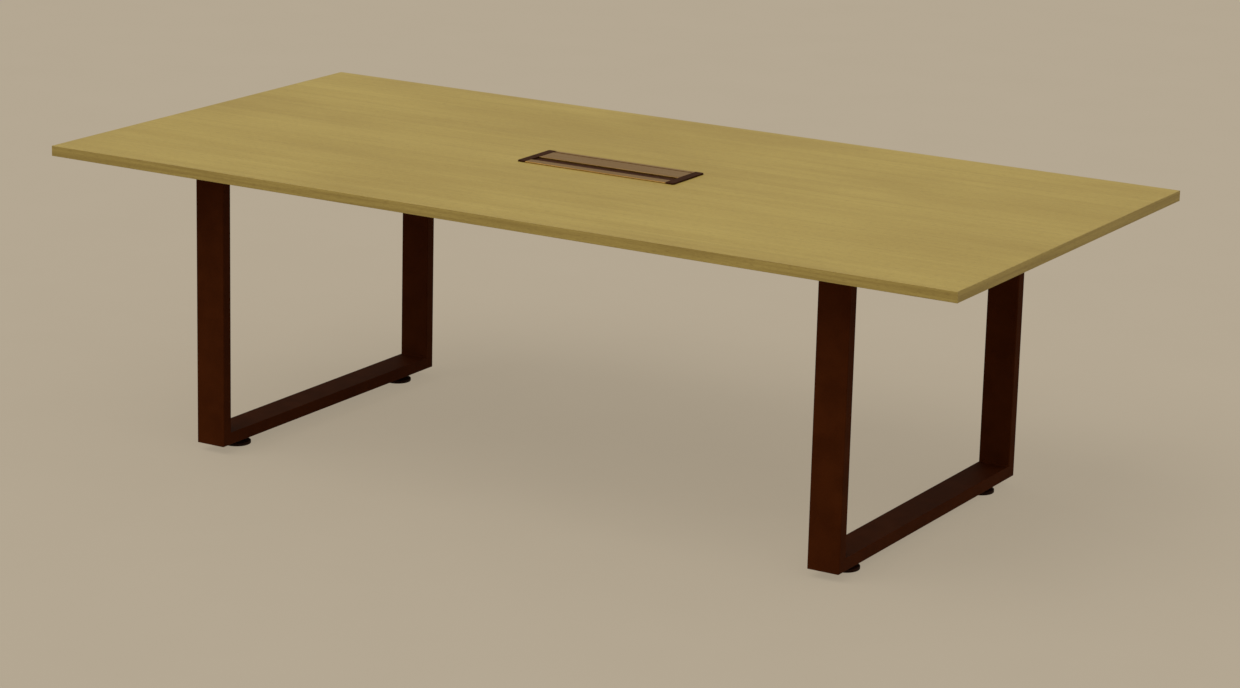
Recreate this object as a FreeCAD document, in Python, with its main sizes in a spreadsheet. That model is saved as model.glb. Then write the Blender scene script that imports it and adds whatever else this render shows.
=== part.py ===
"""Conference table: a laminated top on two rectangular loop frames, with a flip-lid cable box in the middle.

Frame of the part: the origin is on the floor under the middle of the top, +X runs along the top's length,
+Y to the rear (the side of the lid's hinge) and +Z up. Left is -X and front is -Y. All lengths are in mm.
"""

import FreeCAD, Part
import math
import os
from types import SimpleNamespace

import Sketcher
from FreeCAD import Placement, Rotation, Vector

# The driving dimensions, one cell of the sheet each.
SIZES = {
    # tabletop
    "table_height": 740.0,
    "top_length": 2400.0,
    "top_width": 1200.0,
    "board_thickness": 25.0,
    "band_thickness": 2.0,
    "band_rounding": 1.0,
    # leg frames, mitred from flat rectangular tube; the insets are from the top's edges
    "leg_side_inset": 360.0,
    "leg_front_inset": 145.0,
    "floor_gap": 20.0,
    "tube_wide": 80.0,
    "tube_thin": 30.0,
    "tube_wall": 2.0,
    "tube_rounding": 2.5,
    # crossbeams, and the plates welded on their ends; the inset is from the ends of the leg frames
    "beam_wide": 50.0,
    "beam_inset": 215.0,
    "plate_wide": 92.0,
    "plate_thickness": 5.0,
    "plate_rounding": 3.0,
    "plate_bolt_spread": 71.0,
    "plate_bolt_radius": 4.0,
    "plate_bolt_length": 16.0,
    "plate_bolt_flats": 13.0,
    "plate_bolt_head": 5.3,
    "plate_nut_height": 6.5,
    # bolts and inserts that hold the top down
    "top_bolt_radius": 3.0,
    "top_bolt_bite": 11.0,
    "top_bolt_flats": 10.0,
    "top_bolt_head": 4.0,
    "rail_bolt_inset": 160.0,
    "beam_bolt_inset": 345.0,
    "insert_radius": 5.0,
    "insert_length": 13.0,
    # levelling feet
    "foot_inset": 105.0,
    "pad_radius": 35.0,
    "pad_edge": 5.0,
    "pad_bevel": 2.0,
    "pad_height": 12.0,
    "pad_boss_radius": 12.5,
    "pad_floor": 4.0,
    "stem_radius": 5.0,
    "stem_reach": 24.0,
    "stem_flats": 17.0,
    "stem_collar": 5.0,
    "foot_nut_height": 8.0,
    # cable box
    "box_length": 430.0,
    "box_width": 144.0,
    "box_overlap": 10.0,
    "cutout_rounding": 4.0,
    "cap_width": 22.0,
    "cap_rise": 4.0,
    "cap_wall": 3.0,
    "cap_depth": 32.0,
    "cap_boss_width": 11.5,
    "cap_boss_depth": 18.0,
    "cap_rounding": 1.5,
    "edge_rise": 3.5,
    "edge_depth": 30.0,
    "edge_wall": 1.9,
    "edge_rounding": 2.0,
    "port_radius": 3.2,
    "port_inset": 2.2,
    "port_drop": 12.0,
    "port_slit": 1.2,
    "front_edge_width": 26.0,
    "brush_wall": 2.5,
    "carrier_height": 4.0,
    "carrier_width": 5.0,
    "carrier_top": 1.0,
    "bristle_thickness": 2.4,
    "lid_width": 63.0,
    "lid_thickness": 2.5,
    "lid_lip": 7.5,
    "lid_lip_wall": 2.4,
    "lid_rounding": 0.8,
    "barrel_radius": 4.0,
    "barrel_gap": 1.6,
    "pin_radius": 1.5,
    "pin_in_cap": 7.5,
    "pin_in_lid": 20.0,
    "ledge_reach": 9.0,
    "ledge_width": 16.0,
    "ledge_drop": 5.0,
    "ledge_thickness": 4.0,
    "rest_radius": 3.0,
    # screws; the taper is that of every round head
    "head_taper": 1.4,
    "cap_screw_radius": 1.45,
    "cap_screw_head_radius": 2.8,
    "cap_screw_head": 2.2,
    "cap_screw_bite": 12.0,
    "board_screw_radius": 1.75,
    "board_screw_head_radius": 3.5,
    "board_screw_head": 2.2,
    "board_screw_bite": 13.0,
    "board_screw_drop": 16.0,
    # cable tray
    "tray_length": 600.0,
    "tray_width": 172.0,
    "tray_depth": 70.0,
    "tray_flange": 20.0,
    "tray_sheet": 1.2,
    "tray_bend": 2.5,
    "tray_slot_length": 60.0,
    "tray_slot_width": 14.0,
    "tray_slot_pitch": 110.0,
    "tray_screw_radius": 2.0,
    "tray_screw_head_radius": 4.2,
    "tray_screw_head": 2.6,
    "tray_screw_bite": 15.0,
    "tray_screw_inset": 40.0,
    # clearances
    "hole_clearance": 0.5,
    "seat_clearance": 0.05,
    "groove_clearance": 0.1,
    "moving_gap": 0.3,
    "lid_side_gap": 0.4,
    "cutout_clearance": 0.5,
}
TRAY_SLOTS = 5

doc = FreeCAD.newDocument("conference_table")
sheet = doc.addObject("Spreadsheet::Sheet", "Sizes")
nodes = []


class Size:
    """A length that knows both its number and the sheet formula that gives it."""

    def __init__(self, number, formula):
        self.number = number
        self.formula = formula

    def joined(self, sign, other, number):
        return Size(number, f"({self.formula} {sign} {formula_of(other)})")

    def __add__(self, other):
        return self.joined("+", other, self.number + number_of(other))

    def __sub__(self, other):
        return self.joined("-", other, self.number - number_of(other))

    def __mul__(self, other):
        if number_of(other) == 0:
            return 0
        return self.joined("*", other, self.number * number_of(other))

    def __truediv__(self, other):
        return self.joined("/", other, self.number / number_of(other))

    def __neg__(self):
        return self * -1


def number_of(value):
    return value.number if isinstance(value, Size) else float(value)


def formula_of(value):
    return value.formula if isinstance(value, Size) else f"({float(value)!r})"


def fill_sheet():
    """Writes each driving dimension to a cell of its own and gives it back under its name."""
    for row, (name, value) in enumerate(SIZES.items(), start=1):
        sheet.set(f"A{row}", name)
        sheet.set(f"B{row}", str(value))
        sheet.setAlias(f"B{row}", name)
    doc.recompute()
    return SimpleNamespace(**{name: Size(value, f"Sizes.{name}") for name, value in SIZES.items()})


# ---------------------------------------------------------------- placing and naming objects

UNTURNED = Rotation()
HALF_TURN = Rotation(Vector(0, 0, 1), 180)
QUARTER_LEFT = Rotation(Vector(0, 0, 1), 90)
QUARTER_RIGHT = Rotation(Vector(0, 0, 1), -90)
POINTS_LEFT = Rotation(Vector(0, 1, 0), -90)
POINTS_RIGHT = Rotation(Vector(0, 1, 0), 90)
POINTS_FRONT = Rotation(Vector(1, 0, 0), 90)
POINTS_REAR = Rotation(Vector(1, 0, 0), -90)


def place(item, x=0, y=0, z=0, rotation=UNTURNED):
    """Puts an object at a point of the part's frame, each coordinate tied to the sheet."""
    item.Placement = Placement(Vector(number_of(x), number_of(y), number_of(z)), rotation)
    for axis, value in (("x", x), ("y", y), ("z", z)):
        if isinstance(value, Size):
            item.setExpression(f"Placement.Base.{axis}", value.formula)


def new_body(label):
    body = doc.addObject("PartDesign::Body", label)
    body.Label = label
    return body


def node(item):
    """Marks an object as a piece of the table that gets a file of its own."""
    nodes.append(item)
    return item


def copies(label, master, places):
    """One node of several equal solids: a link to the master piece at each place."""
    group = doc.addObject("Part::Compound", label)
    group.Label = label
    links = []
    for x, y, z, rotation in places:
        link = doc.addObject("App::Link", f"{label}_copy")
        link.LinkedObject = master
        link.LinkTransform = True
        place(link, x, y, z, rotation)
        links.append(link)
    group.Links = links
    doc.recompute()
    return node(group)


# ---------------------------------------------------------------- sketches


def new_sketch(body, role, offset=0):
    """An empty sketch on one of the body's origin planes, moved along that plane's normal by offset."""
    sketch = body.newObject("Sketcher::SketchObject", f"{body.Name}_sketch")
    plane = next(feature for feature in body.Origin.OriginFeatures if feature.Role == role)
    sketch.AttachmentSupport = (plane, [""])
    sketch.MapMode = "FlatFace"
    sketch.AttachmentOffset = Placement(Vector(0, 0, number_of(offset)), Rotation())
    if isinstance(offset, Size):
        sketch.setExpression("AttachmentOffset.Base.z", offset.formula)
    return sketch


def hold(sketch, kind, geometry, point, value):
    """Fixes one coordinate of a sketch point, by its distance from the origin or by its lying on an axis."""
    if not isinstance(value, Size) and value == 0:
        axis = -2 if kind == "DistanceX" else -1
        sketch.addConstraint(Sketcher.Constraint("PointOnObject", geometry, point, axis))
        return
    constraint = Sketcher.Constraint(kind, -1, 1, geometry, point, number_of(value))
    index = sketch.addConstraint(constraint)
    if isinstance(value, Size):
        sketch.setExpression(f"Constraints[{index}]", value.formula)


def hold_radius(sketch, geometry, radius):
    index = sketch.addConstraint(Sketcher.Constraint("Radius", geometry, number_of(radius)))
    if isinstance(radius, Size):
        sketch.setExpression(f"Constraints[{index}]", radius.formula)


def outline(sketch, points):
    """A closed line of straight edges through the points."""
    first = sketch.GeometryCount
    count = len(points)
    corners = [Vector(number_of(x), number_of(y), 0) for x, y in points]
    for index in range(count):
        sketch.addGeometry(Part.LineSegment(corners[index], corners[(index + 1) % count]), False)
    for index in range(count):
        following = first + (index + 1) % count
        sketch.addConstraint(Sketcher.Constraint("Coincident", first + index, 2, following, 1))
    for index, (x, y) in enumerate(points):
        hold(sketch, "DistanceX", first + index, 1, x)
        hold(sketch, "DistanceY", first + index, 1, y)


def rectangle(sketch, low_x, low_y, high_x, high_y):
    outline(sketch, [(low_x, low_y), (high_x, low_y), (high_x, high_y), (low_x, high_y)])


def circle(sketch, x, y, radius):
    centre = Vector(number_of(x), number_of(y), 0)
    index = sketch.addGeometry(Part.Circle(centre, Vector(0, 0, 1), number_of(radius)), False)
    hold(sketch, "DistanceX", index, 3, x)
    hold(sketch, "DistanceY", index, 3, y)
    hold_radius(sketch, index, radius)


def half_circle(sketch, x, y, radius, start):
    """Half a circle that runs anticlockwise from the start angle."""
    ring = Part.Circle(Vector(number_of(x), number_of(y), 0), Vector(0, 0, 1), number_of(radius))
    index = sketch.addGeometry(Part.ArcOfCircle(ring, start, start + math.pi), False)
    hold(sketch, "DistanceX", index, 3, x)
    hold(sketch, "DistanceY", index, 3, y)
    return index


def slot(sketch, x, y, length, width):
    """A round-ended slot along the sketch's X."""
    radius = width / 2
    right = half_circle(sketch, x + (length - width) / 2, y, radius, -math.pi / 2)
    left = half_circle(sketch, x - (length - width) / 2, y, radius, math.pi / 2)
    for one, other in ((right, left), (left, right)):
        ends = sketch.Geometry[one].EndPoint, sketch.Geometry[other].StartPoint
        side = sketch.addGeometry(Part.LineSegment(*ends), False)
        sketch.addConstraint(Sketcher.Constraint("Tangent", one, 2, side, 1))
        sketch.addConstraint(Sketcher.Constraint("Tangent", side, 2, other, 1))
    hold_radius(sketch, right, radius)


def hexagon(sketch, flats):
    """A hexagon about the sketch's origin, with two of its flats square to the sketch's Y."""
    half = flats / 2
    corner = flats / math.sqrt(3)
    outline(sketch, [(corner, 0), (corner / 2, half), (-corner / 2, half),
                     (-corner, 0), (-corner / 2, -half), (corner / 2, -half)])


# ---------------------------------------------------------------- solid features


def extrusion(kind, sketch, length, both_ways, backwards):
    """A Pad or a Pocket of the sketch; without a length it goes right through."""
    body = sketch.getParentGeoFeatureGroup()
    feature = body.newObject(f"PartDesign::{kind}", f"{body.Name}_{kind.lower()}")
    feature.Profile = sketch
    feature.SideType = "Symmetric" if both_ways else "One side"
    feature.Reversed = backwards
    if length is None:
        feature.Type = "ThroughAll"
    else:
        feature.setExpression("Length", formula_of(length))
    doc.recompute()
    return feature


def pad(sketch, length, both_ways=False, backwards=False):
    return extrusion("Pad", sketch, length, both_ways, backwards)


def pocket(sketch, depth=None, both_ways=False, backwards=False):
    """Cuts the sketch's outline out of its body: to a depth, or right through where none is given."""
    before = sketch.getParentGeoFeatureGroup().Tip.Shape.Volume
    feature = extrusion("Pocket", sketch, depth, both_ways, backwards)
    if not feature.Shape.Volume < before:
        raise RuntimeError(f"{feature.Name} cuts nothing")
    return feature


def rod(body, role, x, y, radius, length, offset=0, **ways):
    sketch = new_sketch(body, role, offset)
    circle(sketch, x, y, radius)
    return pad(sketch, length, **ways)


def bores(body, role, spots, radius, depth=None, offset=0, **ways):
    """Round holes of one size, at each spot of one sketch plane."""
    sketch = new_sketch(body, role, offset)
    for x, y in spots:
        circle(sketch, x, y, radius)
    return pocket(sketch, depth, **ways)


def revolve(sketch):
    """Turns the sketch's outline once round the sketch's own Y axis."""
    body = sketch.getParentGeoFeatureGroup()
    feature = body.newObject("PartDesign::Revolution", f"{body.Name}_turning")
    feature.Profile = sketch
    feature.ReferenceAxis = (sketch, ["V_Axis"])
    feature.Angle = 360
    doc.recompute()
    return feature


def round_edges(body, radius, chosen):
    """Fillets the body's edges for which chosen(edge) holds."""
    base = body.Tip
    names = [f"Edge{index}" for index, edge in enumerate(base.Shape.Edges, start=1) if chosen(edge)]
    feature = body.newObject("PartDesign::Fillet", f"{body.Name}_rounding")
    feature.Base = (base, names)
    feature.setExpression("Radius", radius.formula)
    doc.recompute()
    return feature


def runs_along(edge, axis):
    """Whether a straight edge is parallel to one of the axes, given as 0, 1 or 2."""
    return edge.Curve.TypeId == "Part::GeomLine" and abs(edge.Curve.Direction[axis]) > 1 - 1e-9


def lies_at(edge, axis, value):
    return abs(edge.CenterOfMass[axis] - number_of(value)) < 1e-6


# ---------------------------------------------------------------- fasteners


def hex_bolt(label, radius, length, flats, head):
    """Bolt with its head below Z = 0 and its shank up to the length."""
    body = new_body(label)
    sketch = new_sketch(body, "XY_Plane")
    hexagon(sketch, flats)
    pad(sketch, head, backwards=True)
    rod(body, "XY_Plane", 0, 0, radius, length)
    return body


def hex_nut(label, flats, height, bore):
    """Nut with its lower face on Z = 0."""
    body = new_body(label)
    sketch = new_sketch(body, "XY_Plane")
    hexagon(sketch, flats)
    circle(sketch, 0, 0, bore)
    pad(sketch, height)
    return body


def round_screw(label, radius, length, head_radius, head):
    """Screw with a tapered round head below Z = 0 and its shank up to the length."""
    body = new_body(label)
    sketch = new_sketch(body, "XZ_Plane")
    outline(sketch, [(0, -head), (head_radius - size.head_taper, -head), (head_radius, 0),
                     (radius, 0), (radius, length), (0, length)])
    revolve(sketch)
    return body


# ---------------------------------------------------------------- tabletop


def top_bolt_spots():
    """Two bolts in each top rail and two in each crossbeam."""
    ways = (-1, 1)
    rails = [(leg_x * side, rail_bolt_y * row) for side in ways for row in ways]
    beams = [(beam_bolt_x * side, beam_y * row) for side in ways for row in ways]
    return rails + beams


def tray_screw_spots():
    """A screw near each end of each flange of the tray."""
    across = size.tray_width / 2 + size.tray_flange / 2
    along = size.tray_length / 2 - size.tray_screw_inset
    return [(along * side, across * row) for side in (-1, 1) for row in (-1, 1)]


def make_board():
    """Laminated particle board with the cable box's cut-out and the drillings on its underside."""
    body = new_body("tabletop_board")
    half_length = size.top_length / 2 - size.band_thickness
    half_width = size.top_width / 2 - size.band_thickness
    sketch = new_sketch(body, "XY_Plane")
    rectangle(sketch, -half_length, -half_width, half_length, half_width)
    pad(sketch, size.board_thickness)

    sketch = new_sketch(body, "XY_Plane")
    rectangle(sketch, -cutout_x, -cutout_y, cutout_x, cutout_y)
    pocket(sketch, backwards=True)
    round_edges(body, size.cutout_rounding, lambda edge: runs_along(edge, 2)
                and (lies_at(edge, 0, cutout_x) or lies_at(edge, 0, -cutout_x)))

    bores(body, "XY_Plane", top_bolt_spots(), size.insert_radius, size.insert_length, backwards=True)
    tray_pilot = size.tray_screw_radius + size.seat_clearance
    bores(body, "XY_Plane", tray_screw_spots(), tray_pilot, size.tray_screw_bite, backwards=True)
    spots = [(0, size.board_thickness - size.board_screw_drop)]
    reach = (cutout_x + size.board_screw_bite) * 2
    bores(body, "YZ_Plane", spots, size.board_screw_radius + size.seat_clearance, reach, both_ways=True)
    place(body, z=underside)
    return node(body)


def make_edge_band(label, length, x, y, rotation):
    """Plastic edge strip, glued on with its outer arrises scraped round."""
    body = new_body(label)
    sketch = new_sketch(body, "XY_Plane")
    rectangle(sketch, -length / 2, 0, length / 2, size.band_thickness)
    pad(sketch, size.board_thickness)
    round_edges(body, size.band_rounding, lambda edge: runs_along(edge, 0) and lies_at(edge, 1, 0))
    place(body, x, y, underside, rotation)
    return node(body)


def make_edge_bands():
    """The long strips go on last and cover the ends of the short ones."""
    half_length = size.top_length / 2
    half_width = size.top_width / 2
    short = size.top_width - size.band_thickness * 2
    make_edge_band("edge_band_front", size.top_length, 0, -half_width, UNTURNED)
    make_edge_band("edge_band_rear", size.top_length, 0, half_width, HALF_TURN)
    make_edge_band("edge_band_left", short, -half_length, 0, QUARTER_RIGHT)
    make_edge_band("edge_band_right", short, half_length, 0, QUARTER_LEFT)


# ---------------------------------------------------------------- leg frames


def mitred_tube(label, length):
    """Rectangular tube along Z with its long wall at Y = 0 and both ends cut at 45 degrees to it."""
    body = new_body(label)
    half = size.tube_wide / 2
    wall = size.tube_wall
    thin = size.tube_thin
    sketch = new_sketch(body, "XY_Plane")
    rectangle(sketch, -half, 0, half, thin)
    pad(sketch, length)
    round_edges(body, size.tube_rounding, lambda edge: runs_along(edge, 2))
    sketch = new_sketch(body, "XY_Plane")
    rectangle(sketch, wall - half, wall, half - wall, thin - wall)
    pocket(sketch, backwards=True)
    sketch = new_sketch(body, "YZ_Plane")
    outline(sketch, [(-wall, -wall), (thin + wall, -wall), (thin + wall, thin + wall)])
    outline(sketch, [(-wall, length + wall), (thin + wall, length - thin - wall),
                     (thin + wall, length + wall)])
    pocket(sketch, both_ways=True)
    return body


def make_upright(label, x, y, rotation):
    body = mitred_tube(label, underside - size.floor_gap)
    place(body, x, y, size.floor_gap, rotation)
    return node(body)


def make_bottom_rail(label, x, y, turn):
    """The rail on the floor side, with a hole near each end of its lower wall for the foot's stem."""
    body = mitred_tube(label, leg_depth)
    spots = [(0, size.foot_inset), (0, leg_depth - size.foot_inset)]
    bores(body, "XZ_Plane", spots, size.stem_radius + size.hole_clearance, size.tube_thin / 2)
    place(body, x, y, size.floor_gap, turn * POINTS_FRONT)
    return node(body)


def make_top_rail(label, x, y, turn):
    """The rail under the board, drilled for the top's bolts and, on its inner side, for the beams' bolts."""
    body = mitred_tube(label, leg_depth)
    spots = [(0, leg_depth / 2 + rail_bolt_y * way) for way in (-1, 1)]
    bores(body, "XZ_Plane", spots, size.top_bolt_radius + size.hole_clearance, both_ways=True)
    spots = [(size.tube_thin / 2, leg_depth / 2 + along) for along in plate_bolt_lines()]
    bores(body, "YZ_Plane", spots, size.plate_bolt_radius + size.hole_clearance, backwards=True)
    place(body, x, y, underside, turn * POINTS_REAR)
    return node(body)


def make_leg_frames():
    """Two equal welded loops; the right one is the left one turned half round, so both face inwards."""
    reach = leg_depth / 2
    frames = ("left", -1, UNTURNED, "front", "rear"), ("right", 1, HALF_TURN, "rear", "front")
    for name, side, turn, near, far in frames:
        x = leg_x * side
        make_upright(f"{name}_{near}_upright", x, reach * side, turn)
        make_upright(f"{name}_{far}_upright", x, reach * -side, turn * HALF_TURN)
        make_bottom_rail(f"{name}_bottom_rail", x, reach * -side, turn)
        make_top_rail(f"{name}_top_rail", x, reach * side, turn)


# ---------------------------------------------------------------- crossbeams


def plate_bolt_lines():
    """How far each of a frame's four plate bolts is from the table's middle, front to rear."""
    return [beam_y * row + size.plate_bolt_spread / 2 * ear for row in (-1, 1) for ear in (-1, 1)]


def make_crossbeam(label, y):
    """Rectangular tube between the leg frames, under the board, with two bolt holes through it."""
    body = new_body(label)
    half = size.beam_wide / 2
    wall = size.tube_wall
    length = (beam_end - size.plate_thickness) * 2
    sketch = new_sketch(body, "YZ_Plane")
    rectangle(sketch, -half, -size.tube_thin, half, 0)
    pad(sketch, length, both_ways=True)
    round_edges(body, size.tube_rounding, lambda edge: runs_along(edge, 0))
    sketch = new_sketch(body, "YZ_Plane")
    rectangle(sketch, wall - half, wall - size.tube_thin, half - wall, -wall)
    pocket(sketch, both_ways=True)
    spots = [(beam_bolt_x * side, 0) for side in (-1, 1)]
    bores(body, "XY_Plane", spots, size.top_bolt_radius + size.hole_clearance, both_ways=True)
    place(body, 0, y, underside)
    return node(body)


def make_end_plate(label, x, y):
    """Flat steel welded across a crossbeam's end, with a bolt hole in the ear on each side of the tube."""
    body = new_body(label)
    half = size.plate_wide / 2
    sketch = new_sketch(body, "YZ_Plane")
    rectangle(sketch, -half, -size.tube_thin, half, 0)
    pad(sketch, size.plate_thickness, both_ways=True)
    round_edges(body, size.plate_rounding, lambda edge: runs_along(edge, 0))
    spots = [(size.plate_bolt_spread / 2 * ear, -size.tube_thin / 2) for ear in (-1, 1)]
    bores(body, "YZ_Plane", spots, size.plate_bolt_radius + size.hole_clearance, both_ways=True)
    place(body, x, y, underside)
    return node(body)


def make_crossbeams():
    for name, row in (("front", -1), ("rear", 1)):
        make_crossbeam(f"{name}_crossbeam", beam_y * row)
        for end, side in (("left", -1), ("right", 1)):
            x = (beam_end - size.plate_thickness / 2) * side
            make_end_plate(f"{name}_beam_{end}_plate", x, beam_y * row)


def make_beam_bolts():
    """Hex bolts through the end plates into nuts welded inside the top rails."""
    radius = size.plate_bolt_radius
    flats = size.plate_bolt_flats
    bolt = hex_bolt("beam_bolt", radius, size.plate_bolt_length, flats, size.plate_bolt_head)
    nut = hex_nut("beam_weld_nut", flats, size.plate_nut_height, radius + size.seat_clearance)
    level = underside - size.tube_thin / 2
    sides = (-1, POINTS_LEFT), (1, POINTS_RIGHT)
    lines = plate_bolt_lines()
    seat = beam_end - size.plate_thickness
    copies("beam_bolts", bolt, [(seat * side, y, level, turn) for side, turn in sides for y in lines])
    seat = beam_end + size.tube_wall
    copies("beam_weld_nuts", nut, [(seat * side, y, level, turn) for side, turn in sides for y in lines])


def make_top_bolts():
    """Hex bolts up through the tubes into threaded inserts in the board."""
    length = size.tube_thin + size.top_bolt_bite
    bolt = hex_bolt("top_bolt", size.top_bolt_radius, length, size.top_bolt_flats, size.top_bolt_head)

    insert = new_body("top_insert")
    sketch = new_sketch(insert, "XY_Plane")
    circle(sketch, 0, 0, size.insert_radius - size.seat_clearance)
    circle(sketch, 0, 0, size.top_bolt_radius + size.seat_clearance)
    pad(sketch, size.insert_length)

    level = underside - size.tube_thin
    copies("tabletop_bolts", bolt, [(x, y, level, UNTURNED) for x, y in top_bolt_spots()])
    copies("tabletop_inserts", insert, [(x, y, underside, UNTURNED) for x, y in top_bolt_spots()])


# ---------------------------------------------------------------- levelling feet


def make_foot_pad(label, x, y):
    """Moulded pad: flat sole, low cone, and at its top the round socket that the stem turns in."""
    body = new_body(label)
    socket = size.stem_radius + size.seat_clearance
    rim = size.pad_radius
    top = size.pad_height
    sketch = new_sketch(body, "XZ_Plane")
    outline(sketch, [(0, 0), (rim - size.pad_bevel, 0), (rim, size.pad_bevel), (rim, size.pad_edge),
                     (size.pad_boss_radius, top), (socket, top), (socket, size.pad_floor),
                     (0, size.pad_floor)])
    revolve(sketch)
    place(body, x, y, 0)
    return node(body)


def make_foot_stem(label, x, y):
    """Steel stem with a spanner collar just above the pad; it screws into the nut in the bottom rail."""
    body = new_body(label)
    bottom = size.pad_floor + size.moving_gap
    top = size.floor_gap + size.stem_reach
    rod(body, "XY_Plane", 0, 0, size.stem_radius, top - bottom, offset=bottom)
    sketch = new_sketch(body, "XY_Plane", size.pad_height + size.moving_gap)
    hexagon(sketch, size.stem_flats)
    pad(sketch, size.stem_collar)
    place(body, x, y, 0)
    return node(body)


def make_feet():
    """A pad and a stem near each end of each bottom rail, and a nut welded inside the rail above each."""
    bore = size.stem_radius + size.seat_clearance
    nut = hex_nut("foot_weld_nut", size.stem_flats, size.foot_nut_height, bore)
    nuts = []
    for row_name, row in (("front", -1), ("rear", 1)):
        for side_name, side in (("left", -1), ("right", 1)):
            x = leg_x * side
            y = (leg_depth / 2 - size.foot_inset) * row
            make_foot_pad(f"{row_name}_{side_name}_foot_pad", x, y)
            make_foot_stem(f"{row_name}_{side_name}_foot_stem", x, y)
            nuts.append((x, y, size.floor_gap + size.tube_wall, UNTURNED))
    copies("foot_weld_nuts", nut, nuts)


# ---------------------------------------------------------------- cable box
# The box's pieces are drawn from the upper face of the board. Row is -1 for the front and 1 for the rear.


def slab(body, low_y, low_z, high_y, high_z):
    """One straight wall of an extruded section that runs the length between the end caps."""
    sketch = new_sketch(body, "YZ_Plane")
    rectangle(sketch, low_y, low_z, high_y, high_z)
    return pad(sketch, edge_length, both_ways=True)


def edge_section(label, row, flange_inner):
    """Extruded edge: flange on the board, leg down the cut-out's wall and slit port for the cap's screw."""
    body = new_body(label)
    rim = size.box_width / 2
    slab(body, flange_inner * row, 0, rim * row, size.edge_rise)
    round_edges(body, size.edge_rounding, lambda edge: runs_along(edge, 0) and lies_at(edge, 1, rim * row)
                and lies_at(edge, 2, size.edge_rise))
    slab(body, leg_inner * row, -size.edge_depth, leg_outer * row, 0)
    rod(body, "YZ_Plane", port_y * row, -size.port_drop, size.port_radius, edge_length, both_ways=True)
    bores(body, "YZ_Plane", [(port_y * row, -size.port_drop)], port_bore, both_ways=True)
    sketch = new_sketch(body, "YZ_Plane")
    opening = (port_y - size.port_radius * 2) * row
    half_slit = size.port_slit / 2
    rectangle(sketch, port_y * row, -size.port_drop - half_slit, opening, half_slit - size.port_drop)
    pocket(sketch, both_ways=True)
    place(body, z=size.table_height)
    return body


def make_front_edge():
    """The front edge is wider and holds the brush's carrier in a groove along its inner side."""
    body = edge_section("cable_box_front_edge", -1, front_edge_inner)
    groove_low = size.carrier_top - size.carrier_height - size.groove_clearance * 2
    groove_back = front_edge_inner + size.carrier_width + size.groove_clearance * 2
    block_low = groove_low - size.brush_wall
    slab(body, -groove_back - size.brush_wall, block_low, -front_edge_inner, 0)
    sketch = new_sketch(body, "YZ_Plane")
    rectangle(sketch, -groove_back, groove_low, size.groove_clearance - front_edge_inner, size.carrier_top)
    pocket(sketch, both_ways=True)
    return node(body)


def make_rear_edge():
    return node(edge_section("cable_box_rear_edge", 1, leg_inner))


def make_brush():
    """Bristles pressed in a slim carrier that slides into the front edge's groove; they reach to the lid."""
    root = -front_edge_inner - size.groove_clearance
    top = size.carrier_top - size.groove_clearance
    middle = top - size.carrier_height / 2
    half = size.bristle_thickness / 2
    carrier = new_body("brush_carrier")
    slab(carrier, root - size.carrier_width, top - size.carrier_height, root, top)
    bristles = new_body("brush_bristles")
    slab(bristles, root, middle - half, lid_front - size.moving_gap, middle + half)
    for body in (carrier, bristles):
        place(body, z=size.table_height)
        node(body)


def make_lid():
    """Extruded flip lid: a flat plate with a stiffening lip in front and the hinge barrel behind."""
    body = new_body("cable_box_lid")
    length = edge_length - size.lid_side_gap * 2
    top = size.edge_rise
    bottom = top - size.lid_thickness
    lip_back = lid_front + size.lid_lip_wall
    sketch = new_sketch(body, "YZ_Plane")
    outline(sketch, [(lid_front, top), (lid_front, top - size.lid_lip), (lip_back, top - size.lid_lip),
                     (lip_back, bottom), (barrel_y, bottom), (barrel_y, top)])
    pad(sketch, length, both_ways=True)
    round_edges(body, size.lid_rounding, lambda edge: runs_along(edge, 0) and lies_at(edge, 1, lid_front))
    rod(body, "YZ_Plane", barrel_y, barrel_z, size.barrel_radius, length, both_ways=True)
    bores(body, "YZ_Plane", [(barrel_y, barrel_z)], pin_bore, both_ways=True)
    place(body, z=size.table_height)
    return node(body)


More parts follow.
